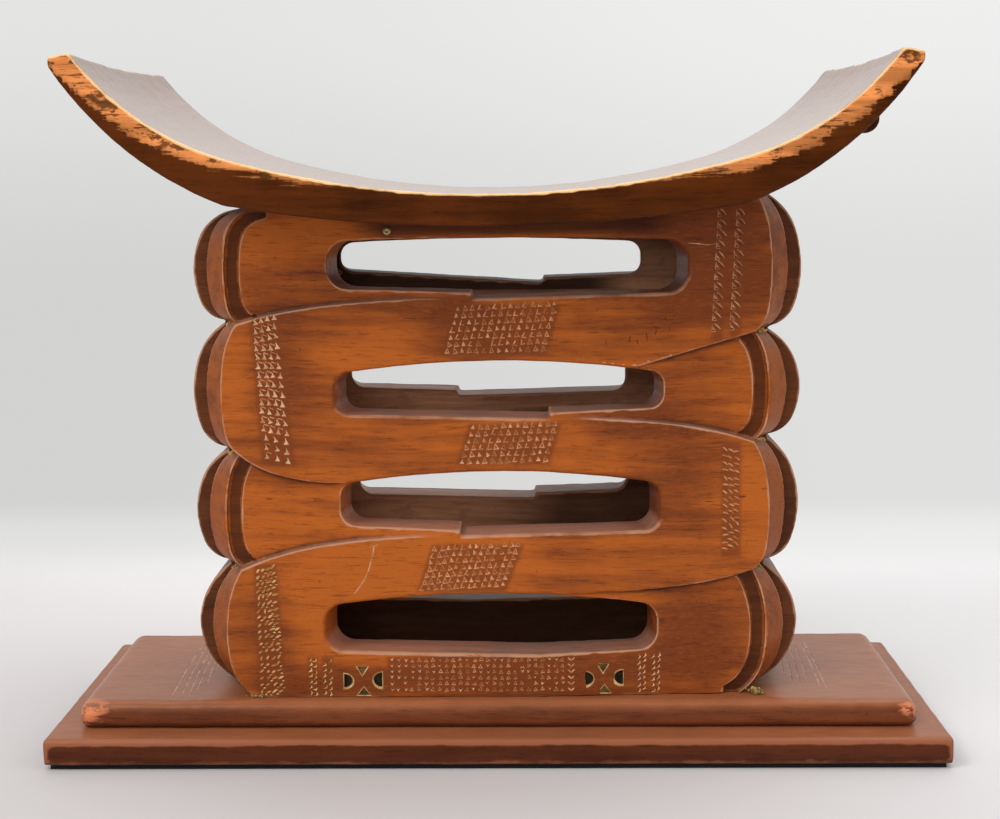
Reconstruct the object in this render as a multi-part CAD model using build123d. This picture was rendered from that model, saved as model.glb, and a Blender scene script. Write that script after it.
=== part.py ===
"""Carved stool: a curved seat on a pierced, scalloped column, a foot slab and a plinth.

Millimetres, +Z up, the front looks towards -Y.  The origin is on the floor, at the middle of the
stool's overall box.  The column is two pierced screens, front and back, that stand between a left
and a right cheek.  Each screen carries one raised ribbon that winds down it from lobe to lobe.
"""
from build123d import *

import os
from collections import namedtuple
from math import asin, degrees

# Seat.  Rises are measured from the middle of the side they belong to.
seat_depth = 280.0
seat_thickness = 19.0         # at the middle
seat_shift = -3.5             # the seat was carved a little to the left of the column
seat_knee = 151.0             # half width of the shallow middle
seat_knee_rise = 12.5
seat_top_knee_rise = 21.0
seat_reach = 249.5            # half width at the tips
seat_tip_rise = 92.5
seat_tip_edge = 5.5           # upright edge at each tip
seat_tip_cut = 12.0           # width of the sloping cut inside that edge
seat_tip_slope = 2.5
seat_under_sag = 10.0
seat_top_sag = 8.5
seat_dish = 2.5               # hollow from front to back
seat_tip_round = 3.0

# Lug under the right end of the seat
lug_station = 0.78            # place along the underside of the flank, 0 at the knee, 1 at the tip
lug_reach = 20.0
lug_tip_radius = 10.0
lug_root = 38.0
lug_thickness = 11.0

# Column
column_depth = 151.0
screen_thickness = 32.0
top_band = 9.0                # wood left between the first slot and the seat

# Scalloped sides.  Notches are heights above the slab, from the seat down.  The top lobe ends at top_rise
# above the middle of the seat's underside, top_draw closer in than a notch, and bulges less by top_slack.
Side = namedtuple("Side", "notches top_rise top_draw top_slack")
left_side = Side((236.0, 154.8, 82.0), 9.0, 10.0, 2.0)
right_side = Side((229.8, 161.8, 80.8), 17.5, 0.0, 0.0)
lower_shoulder = 0.17         # heights of a lobe's two shoulders, as shares of its own
upper_shoulder = 0.27
foot_shoulder = 0.28          # lower shoulder of the lobe on the slab
shoulder_reach = 0.83         # and how far out they lie, as a share of its bulge

# Half widths of the column's layers, at the notches and at the bulge of each lobe
Layer = namedtuple("Layer", "notch bulge")
face_layer = Layer(151.0, 160.0)       # recessed face
channel_layer = Layer(158.8, 168.6)    # outer wall of the channel beside it, and the bead's inner side
ribbon_layer = Layer(160.0, 170.0)     # ribbon's face, and the bead's outer side
edge_layer = Layer(166.5, 183.0)       # sharp edge behind it
groove_layer = Layer(159.0, 173.0)     # floor of the shadow groove
cheek_layer = Layer(168.5, 192.0)      # outer rib
seat_knee_cover = 7.5         # the column is drawn this far past the seat's knees
foot_inset = 7.0              # every layer is that much narrower at the slab than at a notch
groove_width = 7.0
face_margin = 5.0             # a recessed lobe's face starts this far from its notches
recess_depth = 7.0
channel_depth = 3.5           # below the recessed face
cheek_inside = 125.0

# Slots of a screen, seen from its own front, at heights above the slab.  A ledge lies on one side of
# its tip, the floor rises to the sill at the other end, and the ribbon above leaves the slot at over_tip.
Slot = namedtuple("Slot", "left right low high crown corner ledge_side ledge_tip over_tip sill")
front_slots = (
    Slot(-104.0, 118.5, 251.5, 288.0, 2.0, 13.0, -1, -14.0, None, 3.0),
    Slot(-99.5, 104.5, 177.0, 212.5, 8.0, 9.0, 1, 33.0, 84.0, 3.0),
    Slot(-97.5, 102.0, 103.5, 143.5, 8.0, 10.0, -1, -22.0, -92.0, 3.0),
    Slot(-108.0, 101.0, 27.0, 66.0, 8.0, 12.0, 0, 27.0, 27.0, 3.0),
)
back_slots = (
    Slot(-101.0, 110.0, 253.0, 283.0, 3.0, 8.5, -1, -31.0, None, 9.0),
    Slot(-91.0, 104.0, 176.5, 212.5, 8.0, 9.0, 1, 27.5, 80.0, 3.0),
    Slot(-92.0, 99.5, 105.5, 143.5, 8.0, 9.0, -1, -25.0, -88.0, 3.0),
    Slot(-103.0, 110.0, 34.0, 66.5, 8.0, 9.0, 0, 20.0, 20.0, 3.0),
)
slot_end_taper = 5.0          # each end closes in by this much at the back of the screen
slot_bevel = 1.5
ledge_step = 3.5
ledge_rise = 6.0

# Foot slab, plinth and pad
slab_width = 525.0
slab_depth = 173.0
slab_thickness = 17.0
slab_round = 8.0              # of its upper edges and its corners
slab_foot = 3.0
plinth_width = 560.0
plinth_depth = 232.0
plinth_thickness = 16.5
plinth_setback = 6.5          # the plinth's middle lies this far behind the stool's
plinth_arris = 0.8
pad_thickness = 3.0
pad_inset = 4.0

# Dowels, screws and tacks
dowel_radius = 5.2
dowel_sides = 8
dowel_clearance = 0.1
dowel_across = 148.0
dowel_along = 22.0
dowel_in_cheek = 22.0
dowel_in_seat = 13.0
dowel_in_slab = 12.0
screw_radius = 2.2
screw_head_radius = 4.5
screw_head_height = 3.0
screw_length = 28.0
screw_clearance = 0.15
screw_across = 215.0
screw_along = 55.0
tack_head_radius = 2.6
tack_head_height = 1.3
tack_shank_width = 1.6
tack_shank_length = 11.0
tack_clearance = 0.1
front_tack_x = -65.5
front_tack_drop = 4.5         # below the middle of the seat
back_tack_x = -107.0
back_tack_rise = 9.0          # above the floor of the first slot

# Heights and depths that follow
slab_bottom = pad_thickness + plinth_thickness
slab_top = slab_bottom + slab_thickness
column_height = front_slots[0].high + top_band
seat_under = slab_top + column_height
seat_top = seat_under + seat_thickness
knee_z = seat_under + seat_knee_rise
front_y = -column_depth / 2
joint_y = front_y + screen_thickness
crest = column_height + seat_knee_rise + seat_knee_cover   # top of the column before the seat trims it
clear = 40.0                  # how far cutting shapes run past what they cut


def upright(y):
    """Plane of a front view at depth y: its local x is +X and its local y is +Z."""
    return Plane(origin=(0, y, 0), x_dir=(1, 0, 0), z_dir=(0, -1, 0))


def run_back(face, y, length):
    """Solid of a front-view face that starts at depth y and runs back."""
    return extrude(upright(y) * face, amount=length, dir=(0, 1, 0))


def four_ways(across, along, z):
    """The four places that mirror (across, along), at one height."""
    return [Pos(sx * across, sy * along, z) for sx in (-1, 1) for sy in (-1, 1)]


# Seat
def seat_curve(middle_z, side_z, reach, tip_z, sag):
    """A shallow middle between two flanks, from the left tip to the right one."""
    left_tip = (seat_shift - reach, tip_z)
    left_knee = (seat_shift - seat_knee, side_z)
    right_knee = (seat_shift + seat_knee, side_z)
    right_tip = (seat_shift + reach, tip_z)
    return [
        SagittaArc(left_tip, left_knee, -sag),
        ThreePointArc(left_knee, (seat_shift, middle_z), right_knee),
        SagittaArc(right_knee, right_tip, -sag),
    ]


def under_curve():
    return seat_curve(seat_under, knee_z, seat_reach, seat_under + seat_tip_rise, seat_under_sag)


def top_curve(drop):
    """Top of the seat, and the sloping cuts at its tips, which run on past them."""
    side_z = seat_top + seat_top_knee_rise - drop
    tip_z = seat_under + seat_tip_rise + seat_tip_edge + seat_tip_slope - drop
    curve = seat_curve(seat_top - drop, side_z, seat_reach - seat_tip_cut, tip_z, seat_top_sag)
    left_tip = curve[0] @ 0
    right_tip = curve[-1] @ 1
    run = seat_tip_cut + clear
    fall = seat_tip_slope * run / seat_tip_cut
    left_cut = Line((left_tip.X - run, left_tip.Y - fall), left_tip)
    right_cut = Line(right_tip, (right_tip.X + run, right_tip.Y - fall))
    return [left_cut, *curve, right_cut]


def space_over(curve, room):
    """Face of everything above a curve, up to a level line that much above its ends."""
    start = curve[0] @ 0
    end = curve[-1] @ 1
    top = start.Y + room
    roof = Polyline((end.X, end.Y), (end.X, top), (start.X, top), (start.X, start.Y))
    return make_face(curve + roof.edges())


def seat_board():
    """Blank of the seat: the true underside and tips, still full on top."""
    board = run_back(space_over(under_curve(), clear), -seat_depth / 2, seat_depth)
    tips = board.edges().filter_by(Axis.Y).group_by(Axis.Z)[-2]
    return fillet(tips, seat_tip_round)


def seat_hollow():
    """Space above the seat: its front view swung fore and aft about a line high above, to dish it."""
    half = seat_depth / 2
    radius = (half**2 + seat_dish**2) / (2 * seat_dish)
    pivot = Axis((0, 0, seat_top - seat_dish + radius), (1, 0, 0))
    swing = degrees(asin((half + clear) / radius))
    middle = upright(0) * space_over(top_curve(seat_dish), 2 * clear)
    return revolve(middle.rotate(pivot, -swing), pivot, 2 * swing)


def seat_space():
    """Everything above the seat's underside, to trim what carries the seat."""
    return run_back(space_over(under_curve(), clear), -seat_depth / 2 - clear, seat_depth + 2 * clear)


def seat_lug():
    """Tongue that hangs from the underside of the right flank."""
    flank = under_curve()[-1]
    root = flank @ lug_station
    along = flank % lug_station
    away = Vector(along.Y, -along.X)
    centre = root + away * (lug_reach - lug_tip_radius)
    inner = root - away * clear
    outline = [
        inner - along * (lug_root / 2),
        root - along * (lug_root / 2),
        centre - along * lug_tip_radius,
        centre + along * lug_tip_radius,
        root + along * (lug_root / 2),
        inner + along * (lug_root / 2),
    ]
    edges = [Line(a, b) for a, b in zip(outline, outline[1:] + outline[:1]) if a != outline[2]]
    tip = ThreePointArc(outline[2], centre + away * lug_tip_radius, outline[3])
    return run_back(make_face([*edges, tip]), -lug_thickness / 2, lug_thickness) - seat_space()


def make_seat():
    return seat_board() - seat_hollow() + seat_lug() - seat_dowel_sockets()


# Column.  These functions draw it from the slab's top up, and a screen as seen from its own front.
def lobe(way, layer, low, high, foot_draw=0.0, lower=lower_shoulder, top_draw=0.0, slack=0.0):
    """Edge of one lobe, as three arcs: a flat middle between two shoulders that end at the notches."""
    bulge = layer.bulge - slack
    shoulder = layer.notch + (bulge - layer.notch) * shoulder_reach
    start = low + (high - low) * lower
    end = high - (high - low) * upper_shoulder
    crown = (way * bulge, (start + end) / 2)
    middle = ThreePointArc((way * shoulder, start), crown, (way * shoulder, end))
    lower = TangentArc(middle @ 0, (way * (layer.notch - foot_draw), low), tangent=-(middle % 0))
    upper = TangentArc(middle @ 1, (way * (layer.notch - top_draw), high), tangent=middle % 1)
    return [lower, middle, upper]


def foot_lobe(way, layer, side, margin=0.0):
    """Edge of the lobe on the slab, starting and ending a margin away from the slab and its notch."""
    high = side.notches[-1] - margin
    return lobe(way, layer, margin, high, foot_draw=foot_inset, lower=foot_shoulder)


def top_lobe(way, layer, side, margin=0.0):
    """Edge of the lobe under the seat, starting and ending a margin away from its notches."""
    low = side.notches[0] + margin
    high = column_height + side.top_rise - margin
    return lobe(way, layer, low, high, top_draw=side.top_draw, slack=side.top_slack)


def lobes(way, layer, side):
    """All lobes of one side, from the slab up, and the short neck above them."""
    heights = sorted(side.notches)
    arcs = foot_lobe(way, layer, side)
    for low, high in zip(heights, heights[1:]):
        arcs += lobe(way, layer, low, high)
    arcs += top_lobe(way, layer, side)
    return [*arcs, Line(arcs[-1] @ 1, (way * (layer.notch - side.top_draw), crest))]


def layer_face(layer, left, right):
    """Face of one whole layer of the column, between its two scalloped sides."""
    top = Line((left.top_draw - layer.notch, crest), (layer.notch - right.top_draw, crest))
    foot_x = layer.notch - foot_inset
    foot = Line((-foot_x, 0), (foot_x, 0))
    return make_face([*lobes(-1, layer, left), *lobes(1, layer, right), top, foot])


def arch_height(slot, x):
    """Height of the top of a slot at x."""
    half = (slot.right - slot.left) / 2
    middle = (slot.right + slot.left) / 2
    return slot.high - slot.crown * ((x - middle) / half) ** 2


def slot_face(slot, inset):
    """Outline of a slot, with its ends closed in by inset."""
    left = slot.left + inset
    right = slot.right - inset
    shoulder = slot.high - slot.crown
    middle = (left + right) / 2
    left_sill = slot.low + (ledge_rise if slot.ledge_side < 0 else slot.sill)
    right_sill = slot.low + (ledge_rise if slot.ledge_side > 0 else slot.sill)
    tip = (slot.ledge_tip, slot.low)
    raised = (slot.ledge_tip, slot.low + ledge_step)
    step = {-1: [raised, tip], 0: [tip], 1: [tip, raised]}[slot.ledge_side]
    floor = Polyline((left, shoulder), (left, left_sill), *step, (right, right_sill), (right, shoulder))
    arch = ThreePointArc((right, shoulder), (middle, slot.high), (left, shoulder))
    face = make_face([*floor.edges(), arch])
    columns = face.vertices().group_by(Axis.X)
    return fillet([*columns[0], *columns[-1]], slot.corner)


def slot_cut(slot):
    """Solid of a slot, a little past both sides of the screen."""
    past = 1.0
    spread = slot_end_taper * past / screen_thickness
    mouth = upright(front_y - past) * slot_face(slot, -spread)
    throat = upright(joint_y + past) * slot_face(slot, slot_end_taper + spread)
    return loft([mouth, throat], ruled=True)


def ribbon_edge(way, notch_z, tip_x, tip_z, bow):
    """One edge of the ribbon, from a notch to where it meets a slot.  A bow of 0 is straight."""
    start_x = way * ribbon_layer.notch
    run = tip_x - start_x
    rise = tip_z - notch_z
    first = (start_x + run * (1 / 3 - 0.15 * bow), notch_z + rise * (1 / 3 + 0.22 * bow))
    second = (tip_x - run * (1 / 3 + 0.22 * bow), tip_z - rise * (1 - bow) / 3)
    return Bezier((start_x, notch_z), first, second, (tip_x, tip_z))


def recess_face(way, tip_x, upper, lower):
    """Recess of one lobe.  Without an upper or a lower ribbon edge it is open that way."""
    reach = way * (cheek_layer.bulge + clear)
    notch_x = way * ribbon_layer.notch
    upper_end = upper @ 1 if upper else Vector(tip_x, crest + clear)
    lower_end = lower @ 1 if lower else Vector(tip_x, -clear)
    upper_z = (upper @ 0).Y if upper else upper_end.Y
    lower_z = (lower @ 0).Y if lower else lower_end.Y
    upper_in = (notch_x, upper_z) if upper else upper_end
    lower_in = (notch_x, lower_z) if lower else lower_end
    edges = [e for e in (upper, lower) if e]
    edges.append(Line((reach, upper_z), upper_in))
    edges.append(Line(upper_end, lower_end))
    edges.append(Line(lower_in, (reach, lower_z)))
    edges.append(Line((reach, lower_z), (reach, upper_z)))
    return make_face(edges)


def recess_slope(way, tip_x):
    """Prism that makes a recess deeper from nothing at its tip to full depth at the notches."""
    reach = way * (cheek_layer.bulge + clear)
    slope = recess_depth / (way * ribbon_layer.notch - tip_x)
    plan = Polyline(
        (tip_x, front_y),
        (reach, front_y + slope * (reach - tip_x)),
        (reach, front_y - clear),
        (tip_x, front_y - clear),
        close=True,
    )
    return Pos(0, 0, -clear) * extrude(make_face(plan.edges()), amount=crest + 2 * clear)


def lobe_face(arcs, root):
    """Face of one lobe, from an upright line at root out to its edge."""
    low = arcs[0] @ 1
    high = arcs[-1] @ 1
    back = Polyline((low.X, low.Y), (root, low.Y), (root, high.Y), (high.X, high.Y))
    return make_face([*arcs, *back.edges()])


def recess_cut(way, slot, upper, lower, face_arcs, channel_arcs):
    """Sloping recess of one lobe, with the channel between its face and its bead."""
    region = recess_face(way, slot.ledge_tip, upper, lower)
    slope_cut = run_back(region, front_y - clear, column_depth) & recess_slope(way, slot.ledge_tip)
    ends = [(face_arcs[i] @ 1).X * way for i in (0, -1)]
    root = way * (min(ends) - 1)
    channel = region & (lobe_face(channel_arcs, root) - lobe_face(face_arcs, root))
    channel_cut = run_back(channel, front_y - clear, clear + recess_depth + channel_depth)
    return [slope_cut, *channel_cut.solids()]


def foot_recess(way, slot, upper, side):
    """Recess of the lobe on the slab."""
    face_arcs = foot_lobe(way, face_layer, side, face_margin)
    return recess_cut(way, slot, upper, None, face_arcs, foot_lobe(way, channel_layer, side))


def side_recess(way, slot, upper, lower, low, high):
    """Recess of a lobe between two notches."""
    face_arcs = lobe(way, face_layer, low + face_margin, high - face_margin)
    return recess_cut(way, slot, upper, lower, face_arcs, lobe(way, channel_layer, low, high))


def top_recess(way, slot, lower, side):
    """Recess of the lobe under the seat."""
    face_arcs = top_lobe(way, face_layer, side, face_margin)
    return recess_cut(way, slot, None, lower, face_arcs, top_lobe(way, channel_layer, side))


def make_screen(slots, left, right):
    """Front screen, drawn at the front, with its slots, its ribbon and its stepped lobes."""
    first, second, third, fourth = slots
    slope_y = front_y + recess_depth
    edge_y = joint_y - groove_width
    ribbon_face = layer_face(ribbon_layer, left, right)
    edge_face = layer_face(edge_layer, left, right)
    slope = loft([upright(slope_y) * ribbon_face, upright(edge_y) * edge_face], ruled=True)
    groove = run_back(layer_face(groove_layer, left, right), edge_y, groove_width)
    body = run_back(ribbon_face, front_y, recess_depth) + slope + groove
    body = body - [slot_cut(slot) for slot in slots]
    mouths = body.faces().sort_by(Axis.Y)[0].inner_wires()
    body = chamfer([edge for wire in mouths for edge in wire.edges()], slot_bevel)
    left_1, left_2, left_3 = left.notches
    right_1, right_2, right_3 = right.notches
    under_first = ribbon_edge(-1, left_1, first.ledge_tip, first.low, 1)
    over_second = ribbon_edge(1, right_1, second.over_tip, arch_height(second, second.over_tip), 0)
    under_second = ribbon_edge(1, right_2, second.ledge_tip, second.low, 1)
    over_third = ribbon_edge(-1, left_2, third.over_tip, arch_height(third, third.over_tip), 1)
    under_third = ribbon_edge(-1, left_3, third.ledge_tip, third.low, 1)
    over_fourth = ribbon_edge(1, right_3, fourth.over_tip, fourth.high, 1)
    cuts = top_recess(-1, first, under_first, left)
    cuts += side_recess(1, second, over_second, under_second, right_2, right_1)
    cuts += side_recess(-1, third, over_third, under_third, left_3, left_2)
    cuts += foot_recess(1, fourth, over_fourth, right)
    return body - cuts


def make_front_screen():
    screen = Pos(0, 0, slab_top) * make_screen(front_slots, left_side, right_side)
    return screen - seat_space() - front_tack_place() * tack_hole()


def make_back_screen():
    """The other screen looks the other way, so its sides swap places."""
    screen = Pos(0, 0, slab_top) * Rot(0, 0, 180) * make_screen(back_slots, right_side, left_side)
    return screen - seat_space() - back_tack_place() * tack_hole()


def make_cheek(way, side):
    """Scalloped side of the column, between the two screens."""
    inside = way * cheek_inside
    edges = lobes(way, cheek_layer, side)
    edges.append(Line((way * (cheek_layer.notch - side.top_draw), crest), (inside, crest)))
    edges.append(Line((inside, crest), (inside, 0)))
    edges.append(Line((inside, 0), (way * (cheek_layer.notch - foot_inset), 0)))
    cheek = Pos(0, 0, slab_top) * run_back(make_face(edges), joint_y, -2 * joint_y)
    return cheek - seat_space() - seat_dowel_sockets() - foot_dowel_sockets()


# Foot slab, plinth and pad
def make_slab():
    slab = Pos(0, 0, slab_bottom) * Box(
        slab_width, slab_depth, slab_thickness, align=(Align.CENTER, Align.CENTER, Align.MIN)
    )
    top = slab.faces().sort_by(Axis.Z)[-1]
    slab = fillet([*slab.edges().filter_by(Axis.Z), *top.edges()], slab_round)
    bottom = slab.faces().sort_by(Axis.Z)[0]
    slab = chamfer(bottom.edges(), slab_foot)
    return slab - foot_dowel_sockets() - screw_holes()


def make_plinth():
    plinth = Pos(0, plinth_setback, pad_thickness) * Box(
        plinth_width, plinth_depth, plinth_thickness, align=(Align.CENTER, Align.CENTER, Align.MIN)
    )
    plinth = chamfer(plinth.edges(), plinth_arris)
    return plinth - screw_holes()


def make_pad():
    return Pos(0, plinth_setback, 0) * Box(
        plinth_width - 2 * pad_inset,
        plinth_depth - 2 * pad_inset,
        pad_thickness,
        align=(Align.CENTER, Align.CENTER, Align.MIN),
    )


# Dowels, eight-sided as they are when split and shaved by hand
def dowel(radius, length):
    """Upright dowel that stands on its origin."""
    return extrude(RegularPolygon(radius, dowel_sides), amount=length)


def dowel_socket(length):
    """Hole for a dowel, with its clearance at both ends and all round."""
    return Pos(0, 0, -dowel_clearance) * dowel(dowel_radius + dowel_clearance, length + 2 * dowel_clearance)


def seat_dowel_places():
    return four_ways(dowel_across, dowel_along, knee_z - dowel_in_cheek)


def foot_dowel_places():
    return four_ways(dowel_across, dowel_along, slab_top - dowel_in_slab)


def seat_dowel_sockets():
    return [place * dowel_socket(dowel_in_cheek + dowel_in_seat) for place in seat_dowel_places()]


def foot_dowel_sockets():
    return [place * dowel_socket(dowel_in_cheek + dowel_in_slab) for place in foot_dowel_places()]


def make_seat_dowels():
    peg = dowel(dowel_radius, dowel_in_cheek + dowel_in_seat)
    return Compound([place * peg for place in seat_dowel_places()])


def make_foot_dowels():
    peg = dowel(dowel_radius, dowel_in_cheek + dowel_in_slab)
    return Compound([place * peg for place in foot_dowel_places()])


# Screws from under the plinth into the slab
def rod(radius, length):
    """Upright round rod that stands on its origin."""
    return Cylinder(radius, length, align=(Align.CENTER, Align.CENTER, Align.MIN))


def screw_shape(gap):
    """Countersunk screw that stands on its head, grown by gap."""
    head = Pos(0, 0, screw_head_height / 2) * Cone(
        screw_head_radius + gap, screw_radius + gap, screw_head_height
    )
    return head + rod(screw_radius + gap, screw_length + gap)


def screw_places():
    return four_ways(screw_across, screw_along, pad_thickness)


def screw_holes():
    return [place * screw_shape(screw_clearance) for place in screw_places()]


def make_plinth_screws():
    return Compound([place * screw_shape(0) for place in screw_places()])


# Tacks, drawn with the square shank along the local -Z and the head above the origin
def shank(width, length):
    return Box(width, width, length, align=(Align.CENTER, Align.CENTER, Align.MIN))


def tack():
    head = rod(tack_head_radius, tack_head_height)
    return head + Pos(0, 0, -tack_shank_length) * shank(tack_shank_width, tack_shank_length)


def tack_hole():
    length = tack_shank_length + tack_clearance
    return Pos(0, 0, -length) * shank(tack_shank_width + 2 * tack_clearance, length + clear)


def front_tack_place():
    """On the sloping face beside the first slot, as deep there as its recess."""
    tip_x = front_slots[0].ledge_tip
    slope = recess_depth / (ribbon_layer.notch + tip_x)
    depth = front_y + slope * (tip_x - front_tack_x - tack_head_radius)
    return upright(depth) * Pos(front_tack_x, seat_under - front_tack_drop, 0)


def back_tack_place():
    """On the inner side of the back screen, where it shows through the first slot."""
    return upright(-joint_y) * Pos(back_tack_x, slab_top + front_slots[0].low + back_tack_rise, 0)


nodes = {
    "seat": make_seat,
    "front_screen": make_front_screen,
    "back_screen": make_back_screen,
    "left_cheek": lambda: make_cheek(-1, left_side),
    "right_cheek": lambda: make_cheek(1, right_side),
    "foot_slab": make_slab,
    "plinth": make_plinth,
    "felt_pad": make_pad,
    "seat_dowels": make_seat_dowels,
    "foot_dowels": make_foot_dowels,
    "plinth_screws": make_plinth_screws,
    "front_tack": lambda: front_tack_place() * tack(),
    "back_tack": lambda: back_tack_place() * tack(),
}

os.makedirs("parts", exist_ok=True)
for name, make in nodes.items():
    export_step(make(), f"parts/{name}.step")
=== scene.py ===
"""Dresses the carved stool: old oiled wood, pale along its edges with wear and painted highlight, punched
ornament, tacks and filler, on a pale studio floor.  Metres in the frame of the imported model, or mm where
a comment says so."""

import bmesh
import bpy
import numpy as np
from math import cos, pi, radians, sin
from mathutils import Matrix, Vector
from mathutils.bvhtree import BVHTree


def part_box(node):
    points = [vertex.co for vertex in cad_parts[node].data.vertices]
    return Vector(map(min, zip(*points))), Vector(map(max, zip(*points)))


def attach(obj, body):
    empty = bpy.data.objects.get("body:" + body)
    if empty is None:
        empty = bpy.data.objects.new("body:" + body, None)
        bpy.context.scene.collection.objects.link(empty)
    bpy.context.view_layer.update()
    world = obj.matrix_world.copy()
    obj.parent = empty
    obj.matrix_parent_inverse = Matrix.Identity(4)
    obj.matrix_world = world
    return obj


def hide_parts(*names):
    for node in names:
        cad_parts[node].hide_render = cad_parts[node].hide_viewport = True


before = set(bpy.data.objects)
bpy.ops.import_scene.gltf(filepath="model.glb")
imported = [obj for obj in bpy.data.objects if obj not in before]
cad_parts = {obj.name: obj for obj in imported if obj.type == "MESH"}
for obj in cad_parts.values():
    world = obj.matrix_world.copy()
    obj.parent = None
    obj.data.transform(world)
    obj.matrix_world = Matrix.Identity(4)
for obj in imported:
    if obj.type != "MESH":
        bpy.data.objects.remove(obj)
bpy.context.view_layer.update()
scene = bpy.context.scene
mm = 0.001

# Camera, fitted to the photograph
camera_place = (18.87 * mm, -1203.4 * mm, 370.75 * mm)
camera_yaw = radians(0.8117)
camera_down = radians(7.6596)
camera_roll = radians(-0.3842)
camera_lens = 66.46
sensor_width = 36.0

stool_middle = (0, 0, 0.2)      # where the lamps look

# Brightness of the wall, from its foot up
wall_foot, wall_middle, wall_top = 0.80, 0.695, 0.82

# Planes of the faces that the ornament is cut into
front_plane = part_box("front_screen")[0].y
slab_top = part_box("foot_slab")[1].z

# Carving, in mm
wobble = 0.25       # depth of hand work and wear on every surface
long_wave, short_wave = 34, 11      # lengths of its waves
lip = 0.12          # how far a cutter stands out of the face it cuts
lean_rise = 0.35    # how far up the floor of a leaning hole moves

# Rounds of smoothing: of a new mesh, then until its edges are gone, and until its hollows are gone
soften_rounds, near_rounds, far_rounds = 2, 6, 70
sharp_angle = radians(32)
ornament_seed, crumb_seed = 7, 11

# Where wear, dirt, painted light and painted shade start, in mm from the middle planes or above the floor
seat_face = 138.6           # front and back face of the seat
channel_start, channel_floor = 66.6, 63.0       # channels beside the lobes, as depths
lobe_faces, lobe_slopes = 138, 145      # recessed faces of the lobes, and the slopes beside them
column_foot = 38
hollow_face = 70            # the back screen's face towards the hollow
seat_shadow_low, seat_shadow_middle, seat_shadow_half = 319, 12, 118     # painted shadow of the seat on the top bar: height, middle and half width

# ------------ where ornament and wear lie, in mm
# Kinds of cut faces on the front screen, in the order of cut_materials
dust_face, shade_face, chalk_face, dark_face, olive_face, glint_face, pale_face = range(7)

# A zone of the front is its top left, top right, low left and low right corner, as (x, height)
left_strip = ((-149.5, 276.0), (-134.0, 281.0), (-144.5, 188.0), (-125.0, 184.0))
right_strip = ((140.0, 196.5), (150.6, 193.5), (140.6, 128.0), (151.2, 133.0))
low_strip = ((-151.0, 119.5), (-138.0, 123.0), (-149.5, 38.5), (-134.0, 38.5))
foot_patch = ((-68.0, 62.5), (43.5, 62.5), (-68.4, 39.6), (43.5, 39.6))
# Patches of triangles on the bands: four corners, then how many rows and columns
band_patches = (
    ((-24.2, 283.6), (40.0, 287.0), (-32.0, 253.0), (31.0, 254.0), 7, 14),
    ((-15.5, 210.0), (40.0, 212.6), (-24.0, 184.5), (32.6, 186.0), 6, 12),
    ((-39.5, 133.8), (16.5, 136.6), (-49.2, 104.4), (5.4, 106.8), 7, 13),
)
# Upper and lower end of each strip at the top right, and the width of its stain
top_strips = (((136.9, 341.0), (133.7, 265.0)), ((148.3, 341.5), (144.6, 266.0)))
top_strip_width = 5
# Short strips of the bottom band: left side, right side and lean; then their top and foot
foot_strips = ((-118.4, -113.6, 1), (-109.4, -104.0, 1), (88.4, 93.4, -1), (97.4, 102.4, -1))
foot_strip_top, foot_strip_low = 62.5, 38.5
arrowhead_x = 46.6
crosses = ((-84.5, 46.6), (67.1, 47.1))
# Incised lines on the slab: where each starts, and how far out it lies at its front and its back end
left_arcs = (
    (-78, 206.0, 208.4), (-70, 200.2, 205.2), (-69, 195.8, 201.4), (-58, 192.6, 198.0), (-45, 188.8, 194.6),
    (-22, 187.4, 191.5),
)
right_arcs = (
    (-60, 209.6, 212.2), (-54, 206.2, 209.6), (-44, 199.6, 205.0), (-49, 194.1, 201.0), (-51, 189.3, 197.0),
    (-28, 186.6, 192.6),
)
arc_end, arc_bow, arc_points = 62, 3.2, 9
# Broad patches on the front, darker where the amount is above 0 and lighter below it: partly old polish,
# partly painted light and shade, such as the strip of painted shadow under the seat (x, height, reach along
# x, reach in height, amount)
dark_patches = (
    (122, 310, 45, 34, 0.8), (-12, 268, 34, 22, 0.8), (92, 262, 34, 14, -0.2), (122, 75, 36, 40, 0.8),
    (-100, 47, 60, 12, 0.7), (60, 50, 60, 12, 0.5), (-134, 240, 16, 46, 0.4), (-140, 80, 16, 40, 0.5),
    (118, 160, 30, 40, 0.5), (-75, 255, 40, 16, -0.9), (-95, 95, 40, 20, -0.5), (-90, 116, 50, 14, -0.4),
    (-120, 325, 40, 14, -0.9), (0, 342, 130, 5, 1.0), (64, 160, 40, 14, 0.8), (90, 222, 40, 22, 0.5),
)
# Dark flecks and knocks (x, height, length, lean)
flecks = (
    (83, 264, 4.0, -0.5), (87, 262, 3.0, 0.8), (93, 266, 5.0, 0.4), (99, 268, 3.5, -0.6),
    (104, 276, 3.0, 1.2), (107, 270, 2.5, 0.4), (111, 279, 2.2, 0.8), (68, 262, 3.0, 0.4),
    (38, 263, 2.0, -0.6), (-113, 163, 1.6, 0.3), (-120, 258, 2.0, 0.5), (-30, 232, 1.5, 0.4),
    (60, 208, 2.0, -0.5), (118, 206, 2.0, 0.6), (-60, 88, 1.6, 0.4), (25, 118, 1.8, 0.5),
    (96, 146, 2.2, 0.6), (121, 95, 2.4, -0.9), (116, 90, 2.0, 1.3), (126, 98, 1.8, -1.2),
)
# Pale chips along the lower arris of the top band (x, height, length)
arris_chips = (
    (66, 247.6, 2.0), (71, 247.0, 3.0), (78, 246.2, 2.0), (84, 246.0, 3.4), (93, 248.4, 2.4),
    (107, 252.0, 1.8),
)
# Worn corners of the slab: the place and the reach of the wear
slab_worn_spots = (((-261, -85, 33), 17), ((261, -85, 31), 11), ((261, 85, 33), 9), ((-261, 85, 33), 10))
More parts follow.
